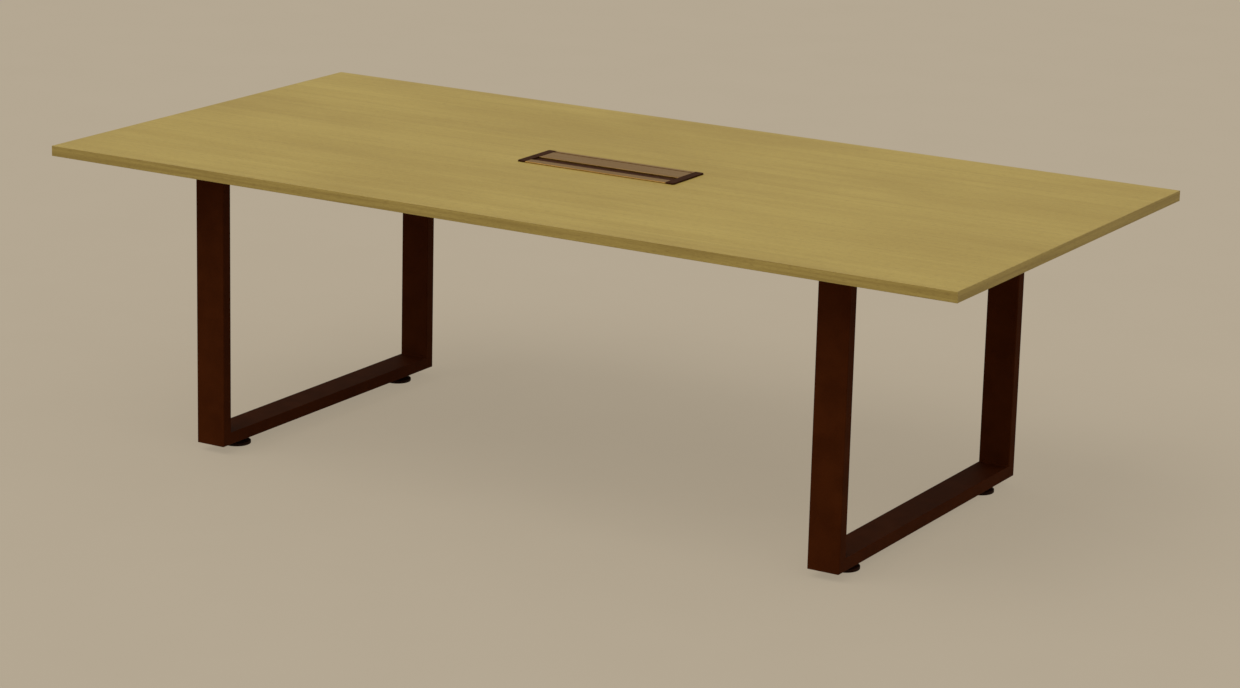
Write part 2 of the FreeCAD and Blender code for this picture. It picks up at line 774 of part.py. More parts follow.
def make_left_cap():
    """Moulded end cap: top plate, walls in the cut-out, a boss against each edge, and the lid's ledge."""
    body = new_body("cable_box_left_cap")
    outer = size.box_length / 2
    rim = size.box_width / 2
    side_inner = leg_outer - size.cap_wall
    boss_inner = leg_outer - size.cap_boss_width
    sketch = new_sketch(body, "XY_Plane")
    rectangle(sketch, -outer, -rim, -cap_inner, rim)
    pad(sketch, size.cap_rise)
    round_edges(body, size.cutout_rounding, lambda edge: runs_along(edge, 2) and lies_at(edge, 0, -outer))
    round_edges(body, size.cap_rounding, lambda edge: lies_at(edge, 2, size.cap_rise)
                and not lies_at(edge, 0, -cap_inner))

    sketch = new_sketch(body, "XY_Plane")
    outline(sketch, [(-wall_outer, -leg_outer), (-cap_inner, -leg_outer), (-cap_inner, -side_inner),
                     (-wall_inner, -side_inner), (-wall_inner, side_inner), (-cap_inner, side_inner),
                     (-cap_inner, leg_outer), (-wall_outer, leg_outer)])
    pad(sketch, size.cap_depth, backwards=True)
    round_edges(body, size.cutout_rounding, lambda edge: runs_along(edge, 2)
                and lies_at(edge, 0, -wall_outer))
    mid_wall = wall_outer - size.cap_wall / 2
    sketch = new_sketch(body, "XY_Plane")
    for row in (-1, 1):
        mid_side = leg_outer - size.cap_wall / 2
        rectangle(sketch, -mid_wall, boss_inner * row, -cap_inner, mid_side * row)
    pad(sketch, size.cap_boss_depth, backwards=True)
    sketch = new_sketch(body, "XY_Plane", -size.ledge_drop)
    half_ledge = size.ledge_width / 2
    rectangle(sketch, -mid_wall, rest_y - half_ledge, size.ledge_reach - cap_inner, rest_y + half_ledge)
    pad(sketch, size.ledge_thickness, backwards=True)

    pin_depth = size.pin_in_cap + size.moving_gap
    bores(body, "YZ_Plane", [(barrel_y, barrel_z)], pin_bore, pin_depth, offset=-cap_inner)
    spots = [(port_y * row, -size.port_drop) for row in (-1, 1)]
    bores(body, "YZ_Plane", spots, port_bore, offset=-wall_outer, backwards=True)
    head_bore = size.cap_screw_head_radius + size.seat_clearance
    bores(body, "YZ_Plane", spots, head_bore, size.cap_screw_head, offset=-wall_outer, backwards=True)
    spots = [(0, -size.board_screw_drop)]
    board_bore = size.board_screw_radius + size.seat_clearance
    bores(body, "YZ_Plane", spots, board_bore, size.cap_wall, offset=-wall_outer, backwards=True)
    place(body, z=size.table_height)
    return node(body)


def make_right_cap(left_cap):
    """The right cap is the left one's mirror image."""
    cap = doc.addObject("Part::Mirroring", "cable_box_right_cap")
    cap.Label = "cable_box_right_cap"
    cap.Source = left_cap
    cap.Normal = (1, 0, 0)
    doc.recompute()
    return node(cap)


def cylinder(label, radius, length):
    item = doc.addObject("Part::Cylinder", label)
    item.setExpression("Radius", radius.formula)
    item.setExpression("Height", length.formula)
    doc.recompute()
    return item


def make_box_small_parts():
    """Hinge pins, the rubber rests under the lid, the caps' screws and the screws into the board."""
    outwards = (-1, POINTS_LEFT), (1, POINTS_RIGHT)
    inwards = (-1, POINTS_RIGHT), (1, POINTS_LEFT)
    pin = cylinder("lid_hinge_pin", size.pin_radius, size.pin_in_cap + size.pin_in_lid)
    x = cap_inner - size.pin_in_lid
    z = size.table_height + barrel_z
    copies("lid_hinge_pins", pin, [(x * side, barrel_y, z, turn) for side, turn in outwards])

    rest = cylinder("lid_rest", size.rest_radius, size.ledge_drop + size.edge_rise - size.lid_thickness
                    - size.moving_gap)
    x = cap_inner - size.ledge_reach / 2
    z = size.table_height - size.ledge_drop
    copies("lid_rests", rest, [(x * side, rest_y, z, UNTURNED) for side in (-1, 1)])

    x = wall_outer - size.cap_screw_head
    z = size.table_height - size.port_drop
    length = x - cap_inner + size.cap_screw_bite
    screw = round_screw("end_cap_screw", size.cap_screw_radius, length, size.cap_screw_head_radius,
                        size.cap_screw_head)
    copies("end_cap_screws", screw,
           [(x * side, port_y * row, z, turn) for side, turn in inwards for row in (-1, 1)])

    z = size.table_height - size.board_screw_drop
    length = cutout_x - wall_inner + size.board_screw_bite - size.moving_gap
    screw = round_screw("box_board_screw", size.board_screw_radius, length, size.board_screw_head_radius,
                        size.board_screw_head)
    copies("box_board_screws", screw, [(wall_inner * side, 0, z, turn) for side, turn in outwards])


# ---------------------------------------------------------------- cable tray


def make_tray():
    """Folded steel channel under the cable box, open at both ends, with slots for cable ties in its floor."""
    body = new_body("cable_tray")
    steel = size.tray_sheet
    bottom = size.tray_depth
    inner = size.tray_width / 2
    outer = inner + steel
    tip = inner + size.tray_flange
    sketch = new_sketch(body, "YZ_Plane")
    outline(sketch, [(-tip, 0), (-inner, 0), (-inner, steel - bottom), (inner, steel - bottom),
                     (inner, 0), (tip, 0), (tip, -steel), (outer, -steel),
                     (outer, -bottom), (-outer, -bottom), (-outer, -steel), (-tip, -steel)])
    pad(sketch, size.tray_length, both_ways=True)
    tight_bend = size.tray_bend - steel
    bends = ((size.tray_bend, inner, 0), (tight_bend, outer, -steel),
             (tight_bend, inner, steel - bottom), (size.tray_bend, outer, -bottom))
    for radius, y, z in bends:
        round_edges(body, radius, lambda edge, y=y, z=z: runs_along(edge, 0) and lies_at(edge, 2, z)
                    and (lies_at(edge, 1, y) or lies_at(edge, 1, -y)))

    sketch = new_sketch(body, "XY_Plane", -size.tray_depth)
    slot(sketch, -size.tray_slot_pitch * (TRAY_SLOTS - 1) / 2, 0, size.tray_slot_length, size.tray_slot_width)
    first = pocket(sketch, steel, backwards=True)
    row = body.newObject("PartDesign::LinearPattern", "cable_tray_slot_row")
    row.Originals = [first]
    row.Direction = (sketch, ["H_Axis"])
    row.Mode = "Spacing"
    row.setExpression("Offset", size.tray_slot_pitch.formula)
    row.Occurrences = TRAY_SLOTS
    body.Tip = row
    doc.recompute()
    bores(body, "XY_Plane", tray_screw_spots(), size.tray_screw_radius + size.hole_clearance)
    place(body, z=underside)
    return node(body)


def make_tray_screws():
    length = size.tray_sheet + size.tray_screw_bite - size.moving_gap
    screw = round_screw("tray_screw", size.tray_screw_radius, length, size.tray_screw_head_radius,
                        size.tray_screw_head)
    level = underside - size.tray_sheet
    copies("tray_screws", screw, [(x, y, level, UNTURNED) for x, y in tray_screw_spots()])


# ---------------------------------------------------------------- the table


def check_objects():
    """Stops before anything is written if an object failed or a piece has no valid solid."""
    for item in doc.Objects:
        if "Invalid" in item.State or "Error" in item.State:
            raise RuntimeError(f"{item.Label} failed: {item.State}")
    for item in nodes:
        if item.Shape.isNull() or not item.Shape.isValid() or not item.Shape.Solids:
            raise RuntimeError(f"{item.Label} has no valid solid")


def write_pieces():
    os.makedirs("parts", exist_ok=True)
    for item in nodes:
        item.Shape.exportStep(f"parts/{item.Label}.step")
        print(f"{item.Label}: {len(item.Shape.Solids)} solids, {item.Shape.Volume:.1f} mm3")


size = fill_sheet()

# Places that several pieces share.
underside = size.table_height - size.board_thickness
leg_x = size.top_length / 2 - size.leg_side_inset
leg_depth = size.top_width - size.leg_front_inset * 2
beam_end = leg_x - size.tube_wide / 2
beam_y = leg_depth / 2 - size.beam_inset
rail_bolt_y = leg_depth / 2 - size.rail_bolt_inset
beam_bolt_x = beam_end - size.beam_bolt_inset
cutout_x = size.box_length / 2 - size.box_overlap
cutout_y = size.box_width / 2 - size.box_overlap
edge_length = size.box_length - size.cap_width * 2
cap_inner = edge_length / 2
wall_outer = cutout_x - size.cutout_clearance
wall_inner = wall_outer - size.cap_wall
leg_outer = cutout_y - size.cutout_clearance
leg_inner = leg_outer - size.edge_wall
port_y = leg_inner - size.port_inset
port_bore = size.cap_screw_radius + size.seat_clearance
pin_bore = size.pin_radius + size.seat_clearance
front_edge_inner = size.box_width / 2 - size.front_edge_width
barrel_y = leg_inner - size.barrel_gap - size.barrel_radius
barrel_z = size.edge_rise - size.barrel_radius
lid_front = barrel_y - size.lid_width
rest_y = lid_front + size.lid_lip_wall + size.rest_radius * 2

make_board()
make_edge_bands()
make_leg_frames()
make_crossbeams()
make_beam_bolts()
make_top_bolts()
make_feet()
make_front_edge()
make_rear_edge()
make_brush()
make_lid()
make_right_cap(make_left_cap())
make_box_small_parts()
make_tray()
make_tray_screws()
doc.recompute()
check_objects()
write_pieces()
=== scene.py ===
import math
import random

import bmesh
import bpy
from mathutils import Matrix, Vector


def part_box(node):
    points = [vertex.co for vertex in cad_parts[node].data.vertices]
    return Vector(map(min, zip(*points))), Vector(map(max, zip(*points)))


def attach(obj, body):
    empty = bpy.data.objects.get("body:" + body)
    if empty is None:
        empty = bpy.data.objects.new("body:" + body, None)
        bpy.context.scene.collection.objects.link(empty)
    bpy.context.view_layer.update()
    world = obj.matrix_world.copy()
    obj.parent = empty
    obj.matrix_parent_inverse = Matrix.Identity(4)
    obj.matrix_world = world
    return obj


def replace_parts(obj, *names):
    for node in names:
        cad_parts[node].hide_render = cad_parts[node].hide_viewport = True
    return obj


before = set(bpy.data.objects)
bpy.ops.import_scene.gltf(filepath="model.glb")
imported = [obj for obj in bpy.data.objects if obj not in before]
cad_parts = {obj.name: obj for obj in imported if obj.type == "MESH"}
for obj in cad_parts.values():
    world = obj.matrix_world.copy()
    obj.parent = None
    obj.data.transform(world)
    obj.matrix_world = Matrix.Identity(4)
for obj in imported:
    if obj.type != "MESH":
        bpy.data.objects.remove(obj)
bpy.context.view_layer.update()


# ---------------------------------------------------------------- tabletop board
# Particle board, 25 mm thick, with maple decor paper pressed on both faces in melamine resin.
# It is sawn square and edged; the cable box drops into a cut-out with small corner radii.

def to_linear(colour):
    """An sRGB hex colour as linear red, green, blue and alpha."""
    channels = [int(colour[place:place + 2], 16) / 255 for place in (1, 3, 5)]
    return [c / 12.92 if c <= 0.04045 else ((c + 0.055) / 1.055) ** 2.4 for c in channels] + [1]


def per_metre(size):
    """How many times a pattern of this size in millimetres fits in a metre."""
    return 1000 / size


def add(tree, kind, settings):
    """Adds a shader node; a setting is a property, a socket's value or colour, or what feeds the socket."""
    node = tree.nodes.new("ShaderNode" + kind)
    for name, value in settings.items():
        if isinstance(name, str) and hasattr(node, name):
            setattr(node, name, value)
            continue
        fitting = [socket for socket in node.inputs if socket.name == name and socket.enabled]
        socket = node.inputs[name] if isinstance(name, int) else fitting[0]
        if isinstance(value, bpy.types.Node):
            value = [output for output in value.outputs if output.enabled][0]
        if isinstance(value, bpy.types.NodeSocket):
            tree.links.new(value, socket)
        else:
            socket.default_value = to_linear(value) if isinstance(value, str) else value
    return node


def new_finish(name):
    """An empty node material, and the place on the piece in metres that its patterns are drawn by."""
    material = bpy.data.materials.new(name)
    material.use_nodes = True
    tree = material.node_tree
    tree.nodes.clear()
    return material, tree, add(tree, "TexCoord", {}).outputs["Object"]


def finish_nodes(material, names):
    """Gives CAD nodes, whose shape stays, their finish."""
    for name in names:
        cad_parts[name].data.materials[0] = material


def maple_print(tree, place, along, ground, figures, start=0.0):
    """Maple print, cut from its roll at start: figures stretched along the grain over a ground colour."""
    colour = ground
    for tone, length, width, first, full, share in figures:
        size = [width, width, width]
        size[along] = length
        spot = add(tree, "Mapping", {"Location": [start, 0, 0], "Scale": [per_metre(side) for side in size],
                                     "Vector": place})
        cloud = add(tree, "TexNoise", {"Scale": 1.0, "Detail": 2.0, "Distortion": 0.3, "Vector": spot})
        shown = add(tree, "MapRange", {"From Min": first, "From Max": full, "To Max": share, "Value": cloud})
        colour = add(tree, "Mix", {"data_type": "RGBA", "Factor": shown, "A": colour, "B": tone})
    return colour, shown


# Melamine resin pressed on a satin plate: a low even gloss over a grain that is only print.
# Each figure is a tone, its length and width in mm, the noise it starts and ends at, and its strength:
# clouds of the veneer, growth bands, growth lines, silky fibres, and last the fine dark pores.
BOARD_FIGURES = (
    ("#987F3C", 620, 300, 0.35, 0.65, 0.55),
    ("#9B823A", 1100, 34, 0.35, 0.65, 0.38),
    ("#937C3A", 420, 8, 0.45, 0.70, 0.30),
    ("#BBA45B", 60, 1.8, 0.45, 0.70, 0.25),
    ("#7A622C", 16, 1.0, 0.54, 0.66, 0.45),
)
LENGTHWISE = 0
BOARD_START = 6.8
PORE_DEPTH = 0.00003
melamine, tree, place = new_finish("melamine_maple_decor")
wood, fibre = maple_print(tree, place, LENGTHWISE, "#B29B50", BOARD_FIGURES, start=BOARD_START)
# The sawn walls of the cut-out show the core: flat pale and dark wood chips, here by their sides in mm.
CHIP = (4, 4, 1.5)
MOSTLY_UP = 0.5
spot = add(tree, "Mapping", {"Scale": [per_metre(side) for side in CHIP], "Vector": place})
chips = add(tree, "TexVoronoi", {"Scale": 1.0, "Vector": spot})
core = add(tree, "Mix", {"data_type": "RGBA", "Factor": chips.outputs["Color"],
                         "A": "#AD9262", "B": "#6B5130"})
facing = add(tree, "SeparateXYZ", {"Vector": add(tree, "NewGeometry", {}).outputs["True Normal"]})
level = add(tree, "Math", {"operation": "ABSOLUTE", 0: facing.outputs["Z"]})
pressed = add(tree, "Math", {"operation": "GREATER_THAN", 0: level, 1: MOSTLY_UP})
colour = add(tree, "Mix", {"data_type": "RGBA", "Factor": pressed, "A": core, "B": wood})
pores = add(tree, "Bump", {"Strength": 0.5, "Distance": PORE_DEPTH, "Height": fibre})
shader = add(tree, "BsdfPrincipled", {"Base Color": colour, "Roughness": 0.44, "Specular IOR Level": 0.25,
                                      "Normal": pores})
add(tree, "OutputMaterial", {"Surface": shader})
finish_nodes(melamine, ["tabletop_board"])


# ---------------------------------------------------------------- edge bands
# Strips of ABS edging, 2 mm thick, hot-glued round the board, with the long arrises scraped round.
# Two lie along the board's grain and two across it.

# Through-dyed ABS, a little duller than the board, with the grain printed lengthwise. Its tones are darker
# than the board's, partly the edging's own colour and partly painted shade of the upright edges.
EDGING_FIGURES = (
    ("#8D7639", 300, 7, 0.35, 0.65, 0.75),
    ("#6F5927", 16, 1.0, 0.54, 0.66, 0.45),
)
CROSSWISE = 1
EDGINGS = (("lengthwise", LENGTHWISE, ("front", "rear")), ("crosswise", CROSSWISE, ("left", "right")))
for direction, along, sides in EDGINGS:
    edging, tree, place = new_finish(f"abs_edging_{direction}")
    print_and_painted_shade, fibre = maple_print(tree, place, along, "#A38C49", EDGING_FIGURES)
    pores = add(tree, "Bump", {"Strength": 0.5, "Distance": PORE_DEPTH, "Height": fibre})
    shader = add(tree, "BsdfPrincipled", {"Base Color": print_and_painted_shade, "Roughness": 0.5,
                                          "Specular IOR Level": 0.3, "Normal": pores})
    add(tree, "OutputMaterial", {"Surface": shader})
    finish_nodes(edging, [f"edge_band_{side}" for side in sides])


# ---------------------------------------------------------------- leg frames
# Two closed loops of 80 x 30 mm steel tube, mitred, welded and ground flush outside, then powder-coated.
# In the inner corners the fillet weld is left as it was laid, with the ripples of the arc.

ENDS = (("left", -1), ("right", 1))
ROWS = (("front", -1), ("rear", 1))
FRAME_PARTS = ("front_upright", "rear_upright", "bottom_rail", "top_rail")

# Noise keeps mostly within these limits, so a pattern of two tones is spread between them.
NOISE_LIMITS = {"From Min": 0.35, "From Max": 0.65}
# The coat is cloudy over 60 mm, and its peel is 0.15 mm deep.
COAT_CLOUD = 60
PEEL_DEPTH = 0.00015


def powder_coat(name, thick, thin, peel_highlight, peel_size, roughness):
    """Polyester powder baked on steel: cloudy in depth, with the fine orange peel of melted grains and a
    painted highlight on its crests.
    """
    material, tree, place = new_finish(name)
    cloud = add(tree, "TexNoise", {"Scale": per_metre(COAT_CLOUD), "Detail": 2.0, "Vector": place})
    depth = add(tree, "MapRange", {**NOISE_LIMITS, "Value": cloud})
    film = add(tree, "Mix", {"data_type": "RGBA", "Factor": depth, "A": thick, "B": thin})
    peel = add(tree, "TexNoise", {"Scale": per_metre(peel_size), "Detail": 1.0, "Vector": place})
    # The peel's crests are painted in a lighter tone: a painted highlight, not a colour of the coat.
    painted_peel_highlights = add(tree, "MapRange", {"From Min": 0.4, "From Max": 0.7, "To Max": 0.3, "Value": peel})
    colour = add(tree, "Mix", {"data_type": "RGBA", "Factor": painted_peel_highlights, "A": film, "B": peel_highlight})
    bump = add(tree, "Bump", {"Strength": 0.8, "Distance": PEEL_DEPTH, "Height": peel})
    shader = add(tree, "BsdfPrincipled", {"Base Color": colour, "Roughness": roughness,
                                          "Specular IOR Level": 0.02, "Normal": bump})
    add(tree, "OutputMaterial", {"Surface": shader})
    return material


# Dark brown and nearly matt; the peel is a real 1.6 mm from crest to crest. Its lightest tone is a painted
# highlight on the crests.
frame_coat = powder_coat("brown_powder_coat", thick="#371503", thin="#3F1A05", peel_highlight="#4B240A",
                         peel_size=1.6, roughness=0.62)
finish_nodes(frame_coat, [f"{side}_{part}" for side, _ in ENDS for part in FRAME_PARTS])

FRAME_BEAD = 0.0035
TUBE_ROUNDING = 0.0025
ARC_STEP = 0.0006
ARC_RIPPLE = 0.0022
RIPPLE_MEAN = 0.93
RIPPLE_SWING = 0.07
BEAD_AT_ENDS = 0.55
BEAD_GAIN = 0.45
BEAD_BOW = 1.3
BEAD_FACETS = 6
SHARP_ANGLE = 32


def new_piece(name, mesh, material, body="table"):
    """Makes closed skins into a piece that rides on a body, and gives it its finish."""
    bmesh.ops.recalc_face_normals(mesh, faces=mesh.faces)
    data = bpy.data.meshes.new(name)
    mesh.to_mesh(data)
    mesh.free()
    data.materials.append(material)
    data.shade_smooth()
    data.set_sharp_from_angle(angle=math.radians(SHARP_ANGLE))
    piece = bpy.data.objects.new(name, data)
    bpy.context.scene.collection.objects.link(piece)
    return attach(piece, body)


def skin(mesh, rings):
    """Joins a row of closed rings with equally many points, and closes both ends."""
    rows = [[mesh.verts.new(point) for point in ring] for ring in rings]
    for low, high in zip(rows, rows[1:]):
        for index in range(len(low)):
            following = (index + 1) % len(low)
            mesh.faces.new((low[index], low[following], high[following], high[index]))
    mesh.faces.new(rows[0])
    mesh.faces.new(rows[-1])


def lay_bead(mesh, start, end, walls, leg):
    """A fillet weld in the corner between two walls, full in the middle and thin at its ends."""
    start, end, one_wall, other_wall = (Vector(item) for item in (start, end, *walls))
    length = (end - start).length
    steps = round(length / ARC_STEP)
    turns = [math.pi / 2 * facet / BEAD_FACETS for facet in range(BEAD_FACETS + 1)]
    rings = []
    for step in range(steps + 1):
        along = length * step / steps
        ripple = RIPPLE_MEAN + RIPPLE_SWING * math.sin(math.tau * along / ARC_RIPPLE)
        crater = min(1, BEAD_AT_ENDS + BEAD_GAIN * min(along, length - along) / leg)
        spot = start.lerp(end, step / steps)
        bow = [one_wall * math.cos(turn) ** BEAD_BOW + other_wall * math.sin(turn) ** BEAD_BOW
               for turn in turns]
        rings.append([spot] + [spot + reach * leg * ripple * crater for reach in bow])
    skin(mesh, rings)


for side, _ in ENDS:
    beads = bmesh.new()
    for row, way in ROWS:
        low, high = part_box(f"{side}_{row}_upright")
        inner = high.y if way < 0 else low.y
        for rail, up in (("bottom_rail", 1), ("top_rail", -1)):
            rail_low, rail_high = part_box(f"{side}_{rail}")
            corner = rail_high.z if up > 0 else rail_low.z
            lay_bead(beads, (low.x + TUBE_ROUNDING, inner, corner), (high.x - TUBE_ROUNDING, inner, corner),
                     ((0, -way, 0), (0, 0, up)), FRAME_BEAD)
    new_piece(f"{side}_frame_welds", beads, frame_coat)


# ---------------------------------------------------------------- crossbeams
# Two 50 x 30 mm steel tubes that tie the leg frames together under the board, with a plate on each end.
# Each plate is welded on with a bead up both sides of the tube, and coated together with its beam.

BEAM_BEAD = 0.0025
for row, _ in ROWS:
    low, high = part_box(f"{row}_crossbeam")
    beads = bmesh.new()
    for seam, along_beam in ((low.x, 1), (high.x, -1)):
        for wall, off_wall in ((low.y, -1), (high.y, 1)):
            lay_bead(beads, (seam, wall, low.z + TUBE_ROUNDING), (seam, wall, high.z - TUBE_ROUNDING),
                     ((0, off_wall, 0), (along_beam, 0, 0)), BEAM_BEAD)
    new_piece(f"{row}_beam_welds", beads, frame_coat)
    finish_nodes(frame_coat, [f"{row}_crossbeam", f"{row}_beam_left_plate", f"{row}_beam_right_plate"])


# ---------------------------------------------------------------- hex bolts, weld nuts and inserts
# M8 bolts hold the beams' end plates to the leg frames, M6 bolts go up through the tubes into the board.
# The heads are cold-formed, with a chamfer that cuts the six corners and a thin washer face below.

# Bright zinc plating: a cool metal gloss, mottled in spots of 5 mm where the passivation dried.
ZINC_CLOUD = 5
zinc, tree, place = new_finish("zinc_plated_steel")
cloud = add(tree, "TexNoise", {"Scale": per_metre(ZINC_CLOUD), "Detail": 3.0, "Vector": place})
mottle = add(tree, "MapRange", {**NOISE_LIMITS, "Value": cloud})
colour = add(tree, "Mix", {"data_type": "RGBA", "Factor": mottle, "A": "#C9C7BE", "B": "#AFAEA9"})
gloss = add(tree, "MapRange", {"To Min": 0.28, "To Max": 0.42, "Value": mottle})
shader = add(tree, "BsdfPrincipled", {"Base Color": colour, "Metallic": 1.0, "Roughness": gloss})
add(tree, "OutputMaterial", {"Surface": shader})
finish_nodes(zinc, ["beam_weld_nuts", "tabletop_inserts", "foot_weld_nuts"])

TINY = 1e-6
ROUND_SIDES = 48
# The round rim of a hex head and the crown inside it, as shares of the flats and of the rim.
HEX_RIM = 0.475
HEX_CROWN = 0.96
HEX_CHAMFER = math.tan(math.radians(30))
CROWN_DROP = 0.0001
WASHER_FACE = 0.0003
TIP_CHAMFER = 0.0008


def solids_of(node):
    """The lowest and highest corner of each separate solid of a CAD node."""
    mesh = bmesh.new()
    mesh.from_mesh(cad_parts[node].data)
    bmesh.ops.remove_doubles(mesh, verts=mesh.verts, dist=TINY)
    left = set(mesh.verts)
    boxes = []
    while left:
        group = [left.pop()]
        for vertex in group:
            beside = {edge.other_vert(vertex) for edge in vertex.link_edges} & left
            left -= beside
            group.extend(beside)
        low, high = ([pick(vertex.co[axis] for vertex in group) for axis in range(3)] for pick in (min, max))
        boxes.append((low, high))
    mesh.free()
    return [(Vector(low), Vector(high)) for low, high in sorted(boxes)]


def turn_on_lathe(mesh, outline, place=Matrix.Identity(4), sides=ROUND_SIDES):
    """Skins rings round Z; a point of the outline is a radius and height, or gives them for each angle."""
    rings = []
    for point in outline:
        ring = []
        for index in range(sides):
            turn = math.tau * index / sides
            radius, height = point(turn) if callable(point) else point
            ring.append(place @ Vector((radius * math.cos(turn), radius * math.sin(turn), height)))
        rings.append(ring)
    skin(mesh, rings)


def hexagon(flats, level, slope=0.0):
    """A ring on a hexagon with corners on X; outside the round rim it falls off by the slope."""
    def at(turn):
        reach = flats / 2 / math.cos(turn % (math.pi / 3) - math.pi / 6)
        return reach, level + slope * (reach - flats * HEX_RIM)
    return at


def fit_fasteners(name, node, pointing, outline_of):
    """Makes a fastener in place of each solid of a CAD node; from its head it points as told."""
    mesh = bmesh.new()
    for low, high in solids_of(node):
        middle = (low + high) / 2
        way = pointing(middle)
        length = abs((high - low).dot(way))
        turn = way.to_track_quat("Z", "X").to_matrix().to_4x4()
        turn_on_lathe(mesh, outline_of(length), Matrix.Translation(middle - way * length / 2) @ turn)
    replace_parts(new_piece(name, mesh, zinc), node)


def outwards(middle):
    return Vector((math.copysign(1, middle.x), 0, 0))


def inwards(middle):
    return -outwards(middle)


def upwards(middle):
    return Vector((0, 0, 1))


def hex_bolt(flats, head, shank):
    """The outline of a hex bolt from the top of its head to its tip, for a given length."""
    rim = flats * HEX_RIM
    crown = [(rim * HEX_CROWN, 0), (rim, CROWN_DROP), hexagon(flats, CROWN_DROP, HEX_CHAMFER)]
    seat = [hexagon(flats, head - WASHER_FACE), (rim, head - WASHER_FACE), (rim, head)]
    return lambda length: crown + seat + [(shank, head), (shank, length - TIP_CHAMFER),
                                          (shank - TIP_CHAMFER, length)]


fit_fasteners("beam_hex_bolts", "beam_bolts", outwards, hex_bolt(flats=0.013, head=0.0053, shank=0.004))
fit_fasteners("tabletop_hex_bolts", "tabletop_bolts", upwards,
              hex_bolt(flats=0.010, head=0.004, shank=0.003))


# ---------------------------------------------------------------- levelling feet
# A moulded nylon pad on a zinc-plated M10 stem, which turns in the pad's socket and screws up into the rail.
# The pad is a low cone with a thick soft rim; a spanner turns the stem by its 17 mm collar.

# The melt leaves clouds of 22 mm in a moulded piece, and the mould a grain that is 0.05 mm deep.
MOULD_CLOUD = 22
MOULD_DEPTH = 0.00005


def moulded(name, tones, grain_size, roughness, specular=0.2):
    """A moulded plastic or rubber: dyed through, with the fine even grain of the spark-eroded mould."""
    material, tree, place = new_finish(name)
    cloud = add(tree, "TexNoise", {"Scale": per_metre(MOULD_CLOUD), "Detail": 2.0, "Vector": place})
    flow = add(tree, "MapRange", {**NOISE_LIMITS, "Value": cloud})
    colour = add(tree, "Mix", {"data_type": "RGBA", "Factor": flow, "A": tones[0], "B": tones[1]})
    grain = add(tree, "TexNoise", {"Scale": per_metre(grain_size), "Detail": 1.0, "Vector": place})
    bump = add(tree, "Bump", {"Strength": 0.6, "Distance": MOULD_DEPTH, "Height": grain})
    shader = add(tree, "BsdfPrincipled", {"Base Color": colour, "Roughness": roughness,
                                          "Specular IOR Level": specular, "Normal": bump})
    add(tree, "OutputMaterial", {"Surface": shader})
    return material


# Nylon 6, matt and nearly black; the grain is drawn at 0.9 mm, three times its real size, so that it shows.
nylon = moulded("moulded_nylon", ("#2A1409", "#200F06"), grain_size=0.9, roughness=0.55, specular=0.05)

PAD_SIDES = 72
PAD_SOCKET = 0.00505
PAD_SOCKET_FLOOR = 0.004
PAD_SOCKET_CHAMFER = 0.0004
PAD_NECK = 0.0125
PAD_EDGE = 0.008
PAD_SOFTNESS = 0.002
COLLAR = 0.005
COLLAR_GAP = 0.0003
STEM_RADIUS = 0.005
STEM_CHAMFER = 0.0006
THREAD_PITCH = 0.0015
THREAD_DEPTH = 0.0008
THREAD_ROWS = 6


def corner_arc(x, z, radius, first, last, steps=5):
    """Points of a rounded corner about (x, z), from one angle in degrees to another."""
    turns = [math.radians(first + (last - first) * step / steps) for step in range(steps + 1)]
    return [(x + radius * math.cos(turn), z + radius * math.sin(turn)) for turn in turns]


def thread_ring(start, row):
    """A ring of the thread: at each angle its radius follows the vee, which climbs one pitch in a turn."""
    height = THREAD_PITCH * row / THREAD_ROWS

    def at(turn):
        climb = (row / THREAD_ROWS - turn / math.tau) % 1
        return STEM_RADIUS - THREAD_DEPTH * abs(2 * climb - 1), start + height
    return at


